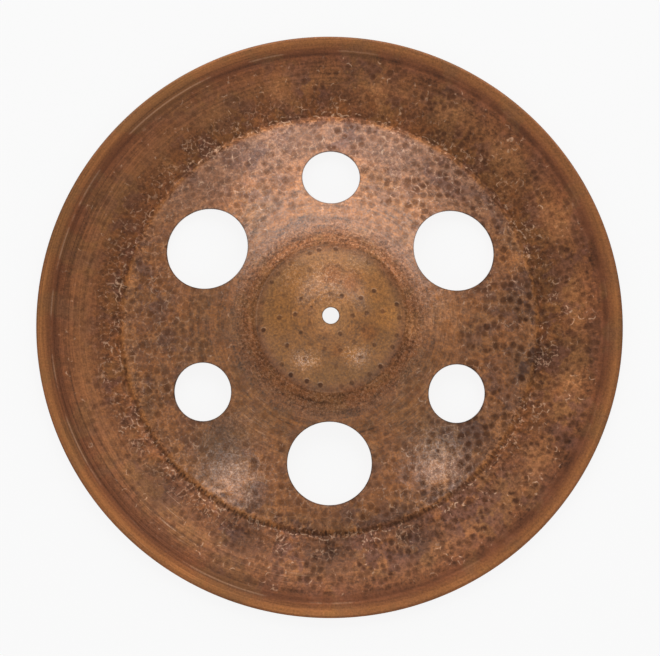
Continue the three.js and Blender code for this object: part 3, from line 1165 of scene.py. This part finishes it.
# Red on the bell: red spots, and on its far side a painted reflection band.
bell_red_and_reflection = places_share(bench, shaken(bench, plan, 5 * MM, 10 * MM), RED_OXIDE_AND_REFLECTION_PLACES)
# Painted shade: a dark edge along the far border of the painted reflection band.
reflection_dark_edge = bench.times(bench.hill(bell_red_and_reflection, 0.02, 0.2, 0.3, 0.6), bench.fade_mm(along, 30, 36))
colour = colour_mix(bench, bell_red_and_reflection, colour, RED_OXIDE_AND_REFLECTION)
dark = bench.most(dark, bench.times(reflection_dark_edge, 0.35))
colour = colour_mix(bench, bench.times(dark, 0.92), colour, DARK_OXIDE)
turned_line = bench.times(turned_line, bench.fade(patch, 0.2, 0.8))
turned_line = bench.times(turned_line, bench.fade_mm(across, 120, -120, 0.03, 0.2))
# Rubbed metal, with the painted glints of the scribbles and the painted highlights on the pits'
# lips.
rubbed_and_glint = bench.most(bench.times(threads_and_pit_highlights, 0.7), bench.times(scratches, 0.45))
rubbed_and_glint = bench.most(rubbed_and_glint, bench.times(scribbles_and_glints, 0.45), turned_line)
colour = colour_mix(bench, rubbed_and_glint, colour, RUBBED_AND_GLINT)
shade = bench.add(1.0, bench.times(lathe, 1.4))
grain_strength = bench.fade_mm(radius, 50, 56, 1.6, 1.15)
grain_strength = bench.most(grain_strength, bench.times(bench.ring(radius, 52, 58, 74, 90), 2.0))
shade = bench.add(shade, bench.times(grain, grain_strength))
speck_strength = bench.fade_mm(radius, 52, 60, 0.36, 0.45)
for cloud, strength in ((bloom, 0.18), (patch, 0.14), (speck, speck_strength), (mottle, -0.14)):
    shade = bench.add(shade, bench.times(bench.centred(cloud), strength, uneven))
# Light places add painted highlights and a paler patina; deep places darken.
tone_and_highlight = bench.times(places_share(bench, drifted, LIGHT_AND_HIGHLIGHT_PLACES), TONE_STRENGTH)
deep = bench.times(places_share(bench, drifted, DEEP_PLACES), TONE_STRENGTH)
shade = bench.times(shade, bench.add(1.0, bench.take(tone_and_highlight, deep)))
faint_groove = bench.ring(radius, 209, 213, 216, 219)
faint_groove = bench.times(faint_groove, bench.fade_mm(across, -60, 80))
shade = bench.add(shade, bench.times(faint_groove, bench.take(bloom, 0.3), 0.5))
shade = bench.times(shade, bench.fade_mm(gap, 0.25, 1.1, 0.45, 1.0))
colour = colour_mix(bench, 1.0, colour, bench.join(shade, shade, shade), blend="MULTIPLY")

# %% [markdown]
# The mesh already carries the larger dents, so the bump only adds lathe grooves and grain.
# Oxide is matt: where the marks are dark, the clear layer thins out and the metal is rougher.
# On the bell that layer is thinner and more rippled, and the metal under it is rougher.

# %% Relief and sheen
on_bell = bench.fade_mm(radius, 54, 60, 1.0, 0.0)
dimple = bench.centred(bench.noise(plan, 800.0, detail=1.0, roughness=0.5)[0])


def bumped(bench, *heights):
    """A normal from relief heights in metres that are added up."""
    bump = bench.node("ShaderNodeBump")
    bump.inputs["Strength"].default_value = 1.0
    bump.inputs["Distance"].default_value = 1.0
    height = heights[0]
    for more in heights[1:]:
        height = bench.add(height, more)
    bench.feed(bump.inputs["Height"], height)
    return bump.outputs["Normal"]


tangent = bench.node("ShaderNodeTangent", direction_type="RADIAL", axis="Z")
metal = bench.node("ShaderNodeBsdfPrincipled")
bench.feed(metal.inputs["Base Color"], colour)
bench.feed(metal.inputs["Metallic"], bench.stretch(on_bell, -0.35, 0.75))
roughness = bench.add(bench.stretch(on_bell, 0.08, 0.36), bench.times(dark, 0.12))
bench.feed(metal.inputs["Roughness"], roughness)
bench.feed(metal.inputs["Tangent"], tangent.outputs[0])
metal_relief = (bench.times(lathe, 0.10 * MM), bench.times(grain, 0.10 * MM))
bench.feed(metal.inputs["Normal"], bumped(bench, *metal_relief))
bell_coat = bench.times(on_bell, bench.fade_mm(along, 0, -20, 0.42, 0.75))
coat_share = bench.most(bow_share, bell_coat, 0.15)
coat_share = bench.times(coat_share, bench.fade_mm(along, 60, 140, 0.6, 0.75))
coat_share = bench.times(coat_share, bench.stretch(dark, -0.92, 1.0))
coat_share = bench.times(coat_share, bench.stretch(bell_red_and_reflection, -0.7, 1.0))
worn = bench.noise(plan, 900.0, detail=2.0, roughness=0.6)[0]
coat_share = bench.times(coat_share, bench.fade(worn, 0.38, 0.62, 0.6, 1.33))
bench.feed(metal.inputs["Coat Weight"], coat_share)
rippled = bench.times(dimple, bench.stretch(on_bell, 0.04 * MM, 0.08 * MM))
coat_relief = (bench.times(lathe, 0.05 * MM), rippled, bench.times(grain, 0.02 * MM))
bench.feed(metal.inputs["Coat Normal"], bumped(bench, *coat_relief))
for name, value in (
    ("Anisotropic", 0.3),
    ("Anisotropic Rotation", 0.25),
    ("Coat Roughness", 0.17),
    ("Coat IOR", 2.0),
):
    metal.inputs[name].default_value = value
surface = bench.node("ShaderNodeOutputMaterial")
bench.feed(surface.inputs["Surface"], metal.outputs[0])
print("bronze has", len(bronze.node_tree.nodes), "nodes")

# %% [markdown]
# ## Strike the disc
# The modifier gets its depths and its finish, its result becomes a plain mesh, and the
# modifier goes. Only that mesh is kept.

# %% Apply the hammer tree
SHARP_EDGE = 40 * DEGREE

hammer = blank.modifiers.new("hammer", "NODES")
hammer.node_group = hammer_tree
for name, depth in DEPTHS.items():
    hammer[tree_inputs[name]] = depth
hammer[tree_inputs["Finish"]] = bronze

graph = bpy.context.evaluated_depsgraph_get()
struck = bpy.data.meshes.new_from_object(
    blank.evaluated_get(graph), preserve_all_data_layers=True, depsgraph=graph
)
struck.name = "bronze_cymbal"
blank.modifiers.clear()
bpy.data.objects.remove(blank)
cymbal = bpy.data.objects.new("bronze_cymbal", struck)
bpy.context.scene.collection.objects.link(cymbal)
struck.shade_smooth()
struck.set_sharp_from_angle(angle=SHARP_EDGE)
print("struck disc has", len(struck.polygons), "triangles")
print("its materials are", [finish.name for finish in struck.materials])

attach(cymbal, "root")
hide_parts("cymbal")

# %% [markdown]
# ## Floor, light and camera
# The cymbal lies on a pale floor. The floor shows nearly white to the camera and in mirrors,
# and keeps a faint shadow. The room is an even grey. Behind the cymbal stand a large soft box
# in two halves and a wall of light, and in front of it two small boxes. Their directions were
# worked out from where the real disc shines.

# %% Floor
FLOOR_HALF = 15.0
SHOWN_WHITE = 0.88

floor_mesh = bpy.data.meshes.new("floor")
floor_signs = ((-1, -1), (1, -1), (1, 1), (-1, 1))
floor_corners = [(x * FLOOR_HALF, y * FLOOR_HALF, 0) for x, y in floor_signs]
floor_mesh.from_pydata(floor_corners, [], [(0, 1, 2, 3)])
floor = bpy.data.objects.new("floor", floor_mesh)
bpy.context.scene.collection.objects.link(floor)
pale = bpy.data.materials.new("pale_floor")
pale.use_nodes = True
bench = Bench(pale.node_tree)
pale.node_tree.nodes.clear()
seen = bench.node("ShaderNodeLightPath").outputs
rays = ("Is Camera Ray", "Is Glossy Ray", "Is Transmission Ray")
shown = bench.most(*(seen[ray] for ray in rays))
matt = bench.fill(bench.node("ShaderNodeBsdfDiffuse"), (0.85, 0.85, 0.85, 1.0))
glow = bench.fill(bench.node("ShaderNodeEmission"), (1.0, 1.0, 1.0, 1.0), 1.0)
mixed = bench.node("ShaderNodeMixShader")
bench.fill(mixed, bench.times(shown, SHOWN_WHITE), matt.outputs[0], glow.outputs[0])
bench.feed(bench.node("ShaderNodeOutputMaterial").inputs["Surface"], mixed.outputs[0])
floor_mesh.materials.append(pale)

# %% Lights
ROOM_STRENGTH = 0.47
LAMP_DISTANCE = 2.6
# name, tilts along x and y from straight up in degrees, width and height in metres, radiance
SOFT_BOXES = [
    ("near_half_of_large_box", 3, 27.5, 2.1, 1.0, 1.95),
    ("far_half_of_large_box", 2, 49, 1.7, 1.0, 0.62),
    ("wall_behind", 1.5, 68, 2.6, 0.8, 1.1),
    ("left_soft_box", -25.5, -31.5, 0.38, 0.38, 3.2),
    ("right_soft_box", 28, -28, 0.40, 0.40, 2.9),
]

world = bpy.data.worlds.new("even_room")
bpy.context.scene.world = world
world.use_nodes = True
room = world.node_tree.nodes["Background"].inputs
room["Color"].default_value = (1.0, 1.0, 1.0, 1.0)
room["Strength"].default_value = ROOM_STRENGTH

for name, tilt_x, tilt_y, width, height, radiance in SOFT_BOXES:
    slant_x, slant_y = math.tan(tilt_x * DEGREE), math.tan(tilt_y * DEGREE)
    towards = Vector((slant_x, slant_y, 1.0)).normalized()
    lamp = bpy.data.lights.new(name, "AREA")
    lamp.shape = "RECTANGLE"
    lamp.size, lamp.size_y = width, height
    lamp.energy = radiance * math.pi * width * height
    holder = bpy.data.objects.new(name, lamp)
    bpy.context.scene.collection.objects.link(holder)
    holder.location = towards * LAMP_DISTANCE
    holder.rotation_euler = towards.to_track_quat("Z", "Y").to_euler()
    holder.visible_camera = False
print(len(SOFT_BOXES), "soft boxes")

# %% [markdown]
# The camera was fitted to the outlines of the rim and the holes. It stands almost straight
# above the cymbal, a little to the near side, and aims a few pixels off the middle.

# %% Camera
CAMERA_DISTANCE = 1.3
CAMERA_TILT = 0.134385564
CAMERA_SIDE_TILT = 0.013846449
CAMERA_ROLL = -0.007313550
AIM_OFFSET_PIXELS = 5.15
PIXELS_PER_RADIAN = 1651.75
CAMERA_AIM = AIM_OFFSET_PIXELS / PIXELS_PER_RADIAN
CAMERA_LENS = 90.1
CAMERA_SENSOR = 36.0

turned = Matrix.Rotation(CAMERA_ROLL, 3, "Z")
tipped = Matrix.Rotation(-CAMERA_TILT, 3, "X")
leaned = Matrix.Rotation(CAMERA_SIDE_TILT, 3, "Y")
right, upward, back = leaned @ tipped @ turned
place = back * CAMERA_DISTANCE
aimed_back = back * math.cos(CAMERA_AIM) + upward * math.sin(CAMERA_AIM)
aimed_up = upward * math.cos(CAMERA_AIM) - back * math.sin(CAMERA_AIM)
eye = bpy.data.cameras.new("eye")
eye.lens = CAMERA_LENS
eye.sensor_width = CAMERA_SENSOR
eye.sensor_fit = "HORIZONTAL"
camera = bpy.data.objects.new("camera", eye)
bpy.context.scene.collection.objects.link(camera)
camera.matrix_world = Matrix(
    (
        (right.x, aimed_up.x, aimed_back.x, place.x),
        (right.y, aimed_up.y, aimed_back.y, place.y),
        (right.z, aimed_up.z, aimed_back.z, place.z),
        (0, 0, 0, 1),
    )
)
bpy.context.scene.camera = camera
bpy.context.scene.view_settings.view_transform = "Standard"
print("camera at", [round(v, 3) for v in place])
